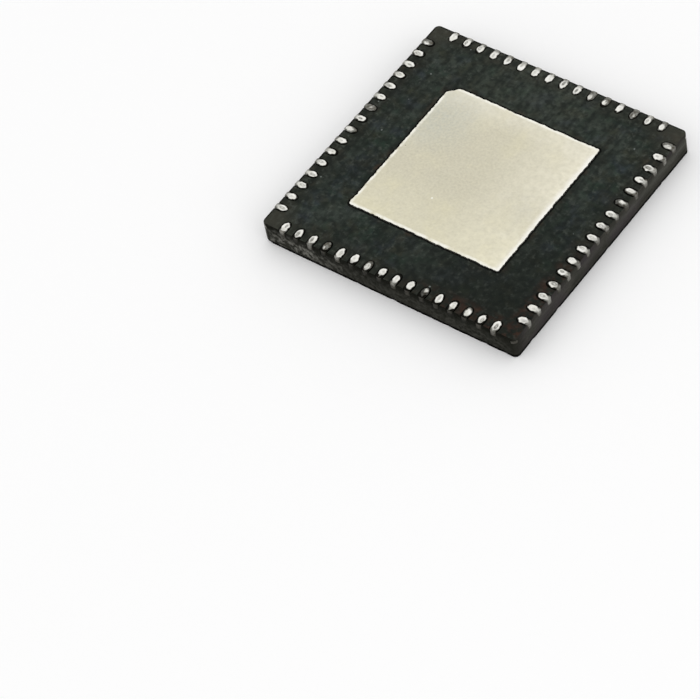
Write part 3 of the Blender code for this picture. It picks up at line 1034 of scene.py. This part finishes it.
def wall_finish():
    """The sawn walls: near black with cut filler grains, but smooth olive grey on the right, and
    black at the lid: resin skin and painted contact shade.
    """
    material, tree, shader = new_material("sawn_wall", specular=0.01)
    where, part = places(tree)
    broad = patch(tree, 1.3, 0.38, 0.62, 4.0, stretch=(1.0, 1.0, 2.0))
    lines = patch(tree, 3.0, 0.35, 0.65, 4.0, stretch=(0.6, 0.6, 10.0))
    grains = patch(tree, 9.0, 0.44, 0.66, 4.0)
    clumps = patch(tree, 1.3, 0.40, 0.62, shift=(2.0, 2.0, 2.0))
    mottle = patch(tree, 10.0, 0.42, 0.62, 3.0, shift=(4.0, 4.0, 4.0))
    front = ramp(tree, part["Y"], 0.14 * MM - BODY_SIDE / 2, 0.06 * MM - BODY_SIDE / 2)
    rough = mixed(tree, broad, paint(30, 31, 26), paint(40, 40, 35))
    rough = wash(tree, rough, mottle, 0.40, paint(66, 66, 61))
    near_left = ramp(tree, part["X"], -1.4 * MM, -2.8 * MM)
    clumped = both(tree, near_left, between(tree, clumps, 0.35, 1.0))
    even = between(tree, front, 0.30, 0.15)
    share = sums(tree, "ADD", even, both(tree, front, clumped))
    rough = mixed(tree, both(tree, grains, share), rough, paint(112, 111, 105))
    upper = both(tree, front, ramp(tree, part["Z"], 0.44 * MM, 0.74 * MM))
    rough = wash(tree, rough, upper, 0.85, paint(14, 15, 10))
    smooth = mixed(tree, broad, paint(50, 50, 45), paint(66, 65, 60))
    smooth = wash(tree, smooth, mottle, 0.35, paint(42, 42, 37))
    purple = patch(tree, 1.0, 0.50, 0.64, shift=(4.0, 2.5, 0.0))
    smooth = wash(tree, smooth, purple, 0.6, paint(62, 57, 60))
    off_belt = sums(tree, "ABSOLUTE", sums(tree, "SUBTRACT", part["Z"], 0.50 * MM), 0.0)
    belt = ramp(tree, off_belt, 0.24 * MM, 0.02 * MM)
    to_back = ramp(tree, part["Y"], -1.0 * MM, 4.2 * MM)
    belt = both(tree, belt, between(tree, to_back, 0.15, 0.50))
    smooth = mixed(tree, belt, smooth, paint(96, 96, 90))
    right_side = ramp(tree, part["X"], BODY_SIDE / 2 - 0.12 * MM, BODY_SIDE / 2 - 0.03 * MM)
    colour = mixed(tree, right_side, rough, smooth)
    colour = wash(tree, colour, lines, 0.30, paint(24, 24, 20))
    low_corner = near(tree, where, (4.5 * MM, -4.5 * MM, 0.5 * MM), 0.20 * MM, 0.60 * MM)
    colour = wash(tree, colour, low_corner, 0.7, paint(28, 28, 23))
    colour = mixed(tree, corner_mask(tree, part), colour, paint(112, 111, 106))
    # A near-black band at the lid: the darker resin skin, with painted contact shade where the lid
    # meets the floor.
    skin_and_contact_shade = ramp(tree, part["Z"], 0.140 * MM, 0.095 * MM)
    colour = mixed(tree, skin_and_contact_shade, colour, paint(3, 3, 2))
    roughness = between(tree, broad, 0.55, 0.75)
    cut = relief(tree, lines, 0.006 * MM)
    finish_shader(tree, shader, colour, roughness, relief(tree, grains, 0.008 * MM, cut))
    return material


def lid_finish():
    """The lid: olive black with a fine speckle, a few pale specks and a lighter dimple."""
    material, tree, shader = new_material("moulded_lid", specular=0.03)
    where = add(tree, "ShaderNodeTexCoord").outputs["Object"]
    broad = patch(tree, 0.6, 0.35, 0.65, 3.0)
    speckle = patch(tree, 9.0, 0.35, 0.65, 3.0, shift=(4.0, 4.0, 0.0))
    colour = mixed(tree, broad, paint(46, 46, 40), paint(54, 54, 48))
    colour = wash(tree, colour, speckle, 0.5, paint(34, 34, 30))
    dish = near(tree, where, (*DIMPLE_PLACE, DIMPLE_DEPTH), 0.15 * MM, 0.24 * MM)
    polished = both(tree, dish, between(tree, speckle, 0.95, 0.35))
    colour = mixed(tree, polished, colour, paint(98, 98, 88))
    colour = mixed(tree, fleck(tree, 2.4, 0.05, 0.10), colour, paint(160, 158, 150))
    roughness = between(tree, speckle, 0.66, 0.82)
    sand = relief(tree, patch(tree, 24.0, 0.2, 0.8, 3.0), 0.010 * MM)
    finish_shader(tree, shader, colour, roughness, sand)
    return material


def finish_of(face):
    """The terminal side's finish (0), the walls' (1) or the lid's (2), by where a face lies."""
    reach = BODY_SIDE / 2 - CORNER_RADIUS
    x, y, z = face.center
    out = math.hypot(max(abs(x) - reach, 0.0), max(abs(y) - reach, 0.0))
    between_edges = WALL_FROM < z < WALL_TO
    if between_edges and out > CORNER_RADIUS - WALL_DEPTH:
        return 1
    return 0 if z > MOULDING_TOP / 2 else 2


pockets = []
for side_name, place in terminal_places:
    crevice = TERMINAL_CREVICE[side_name]
    pockets.append((with_crevice(lead_outline, LEAD_LOW - FIT, crevice), place))
channels = []
for side in range(len(SIDES)):
    for pair in wire_pairs:
        channels.append((wire_rings(wire_path(*pair), WIRE_GAP), quarter_turn(side)))
half_film = ADHESIVE_SIDE / 2 + FIT
film_room = [square_ring(half_film, ADHESIVE_LOW - FIT), square_ring(half_film, LEAD_LOW)]
rooms = [
    many("pockets", pockets),
    loft("plate_room", etched_rings(FIT, LEAD_LOW - FIT, ETCHED_TOP + FIT)),
    loft("pad_room", with_crevice(pad_ring, LEAD_LOW, PAD_CREVICE)),
    loft("film_room", film_room),
    loft("die_room", die_rings(FIT)),
    many("wire_room", channels),
    loft("dimple", dimple_rings()),
]
moulding = show("moulding", moulding_mesh(), [])
steps = [("DIFFERENCE", room) for room in rooms]
moulding_made = carve(moulding, steps, [face_finish(), wall_finish(), lid_finish()])
for face in moulding_made.polygons:
    face.material_index = finish_of(face)
shade(moulding_made, 35)
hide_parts("body_with_terminals")

# Floor and light. A plain white floor under a soft studio sky that is a little brighter towards
# the horizon, and one large soft lamp on the right. The floor is open just where the chip covers
# it, so that light reaches the lid and it can be seen from below.
FLOOR_HALF = 0.6
FLOOR_OPENING_HALF = BODY_SIDE / 2 - 0.10 * MM
FLOOR_HEIGHT = 0.001 * MM
SKY_TOP = 0.91
SKY_HORIZON = 1.06
SKY_FADE = (0.15, 0.75)
LAMP_PLACE = Vector((0.27, -0.06, 0.15))
LAMP_SIZE = 0.20
LAMP_POWER = 0.08

floor_mesh = bpy.data.meshes.new("floor")
floor_shape = bmesh.new()
outer = [floor_shape.verts.new(point) for point in square_ring(FLOOR_HALF, FLOOR_HEIGHT)]
inner = [floor_shape.verts.new(point) for point in square_ring(FLOOR_OPENING_HALF, FLOOR_HEIGHT)]
for index in range(4):
    after = (index + 1) % 4
    floor_shape.faces.new((outer[index], outer[after], inner[after], inner[index]))
floor_shape.to_mesh(floor_mesh)
floor_shape.free()
floor = bpy.data.objects.new("floor", floor_mesh)
bpy.context.scene.collection.objects.link(floor)
white, _, shader = new_material("white_floor", specular=0.1)
shader.inputs["Base Color"].default_value = (1.0, 1.0, 1.0, 1.0)
shader.inputs["Roughness"].default_value = 0.9
floor_mesh.materials.append(white)

world = bpy.data.worlds.new("studio")
world.use_nodes = True
tree = world.node_tree
direction = add(tree, "ShaderNodeTexCoord").outputs["Generated"]
height = add(tree, "ShaderNodeSeparateXYZ", {}, {0: direction}).outputs["Z"]
sky = between(tree, ramp(tree, height, *SKY_FADE), SKY_HORIZON, SKY_TOP)
tree.links.new(sky, tree.nodes["Background"].inputs["Strength"])
tree.nodes["Background"].inputs["Color"].default_value = (1.0, 1.0, 1.0, 1.0)
bpy.context.scene.world = world
lamp = bpy.data.objects.new("soft_lamp", bpy.data.lights.new("soft_lamp", "AREA"))
lamp.data.size = LAMP_SIZE
lamp.data.energy = LAMP_POWER
lamp.location = LAMP_PLACE
lamp.rotation_euler = LAMP_PLACE.to_track_quat("Z", "Y").to_euler()
bpy.context.scene.collection.objects.link(lamp)
bpy.context.scene.view_settings.view_transform = "Standard"
